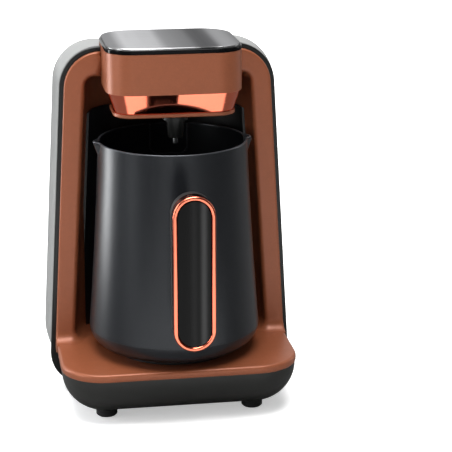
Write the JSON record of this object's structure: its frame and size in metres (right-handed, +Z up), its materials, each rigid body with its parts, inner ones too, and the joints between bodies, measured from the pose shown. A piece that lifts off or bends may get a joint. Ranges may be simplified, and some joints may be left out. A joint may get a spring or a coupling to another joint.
{
  "type": "electric turkish coffee maker",
  "caption": "Pump-fed electric Turkish coffee maker: arched casing with tray and hot plate, tank under a hinged lid in the overhanging head, and a loose two-spout pot with upright handle.",
  "frame": {"origin": "on the table under the middle of the whole object with its pot in place", "axes": "+Z up, the head, pot and handle face -Y, +X is the viewer's right"},
  "size_m": [0.1718, 0.194, 0.2496],
  "materials": {
    "copper_brown_paint": "satin copper-brown paint",
    "silver_grey_plastic": "smooth silver-grey",
    "black_plastic": "satin black",
    "charcoal_plastic": "satin charcoal",
    "polished_copper": "polished rose copper plating",
    "brushed_steel": "brushed or plain steel",
    "gloss_black": "gloss black",
    "black_pot_coating": "satin black coating on steel",
    "white_mark": "raised grey mark",
    "cast_aluminium": "dark cast aluminium",
    "black_rubber": "matt rubber",
    "grey_silicone": "silicone",
    "clear_tank": "clear smoked plastic tank",
    "pump_body": "moulded pump body",
    "circuit_board": "green circuit board",
    "electric_parts": "moulded electrical parts",
    "light_pipe": "frosted light pipe"
  },
  "bodies": {
    "machine": {"base_pan": "charcoal_plastic", "board_screws": "brushed_steel", "buzzer": "electric_parts", "control_board": "circuit_board", "control_panel": "charcoal_plastic", "copper_band": "polished_copper", "cord_gland": "black_rubber", "cradle_screw": "brushed_steel", "edge_trim": "black_plastic", "feed_hose": "grey_silicone", "feet": "black_rubber", "foam_sensor": "circuit_board", "foot_screws": "brushed_steel", "front_casing": "copper_brown_paint", "head_housing": "copper_brown_paint", "head_underplate": "copper_brown_paint", "heat_shield": "brushed_steel", "heater_leads": "grey_silicone", "heater_relay": "electric_parts", "heating_element": "cast_aluminium", "hinge_pin": "brushed_steel", "hot_plate": "cast_aluminium", "indicator_leds": "light_pipe", "light_pipes": "light_pipe", "niche_panel": "black_plastic", "nozzle": "black_plastic", "outlet_tube": "brushed_steel", "plate_seal": "black_rubber", "plate_sensor": "brushed_steel", "power_board": "circuit_board", "pump_cradle": "charcoal_plastic", "rear_shell": "silver_grey_plastic", "sensor_window": "gloss_black", "shell_screws": "brushed_steel", "side_screws": "brushed_steel", "slow_spring": "brushed_steel", "start_spring": "brushed_steel", "suction_hose": "grey_silicone", "switches": "electric_parts", "terminal_block": "charcoal_plastic", "thermal_fuse": "electric_parts", "thermostat": "electric_parts", "transformer": "electric_parts", "water_pump": "pump_body", "water_tank": "clear_tank"},
    "lid": {"lid_frame": "gloss_black", "lid_plate": "brushed_steel", "lid_seal": "grey_silicone"},
    "pot": {"pot_body": "black_pot_coating", "pot_base": "black_pot_coating", "fill_mark": "white_mark", "handle_grip": "charcoal_plastic", "handle_ring": "polished_copper", "handle_inlay": "gloss_black", "handle_brackets": "brushed_steel", "handle_screws": "brushed_steel"},
    "start_button": {"start_button": "gloss_black"},
    "slow_button": {"slow_button": "gloss_black"}
  },
  "joints": [
    {"name": "lid_hinge", "type": "hinge", "parent": "machine", "child": "lid", "pos_m": [0, 0.056, 0.246], "axis": [-1, 0, 0], "range_deg": [0, 95]},
    {"name": "pot_slide", "type": "slide", "parent": "machine", "child": "pot", "axis": [0, -1, 0], "range_m": [0, 0.18]},
    {"name": "start_button_press", "type": "slide", "parent": "machine", "child": "start_button", "axis": [-1, 0, 0], "range_m": [0, 0.0012], "stiffness_N_per_m": 400, "springref_m": -0.001, "deforming": ["start_spring"]},
    {"name": "slow_button_press", "type": "slide", "parent": "machine", "child": "slow_button", "axis": [-1, 0, 0], "range_m": [0, 0.0012], "stiffness_N_per_m": 400, "springref_m": -0.001, "deforming": ["slow_spring"]}
  ]
}
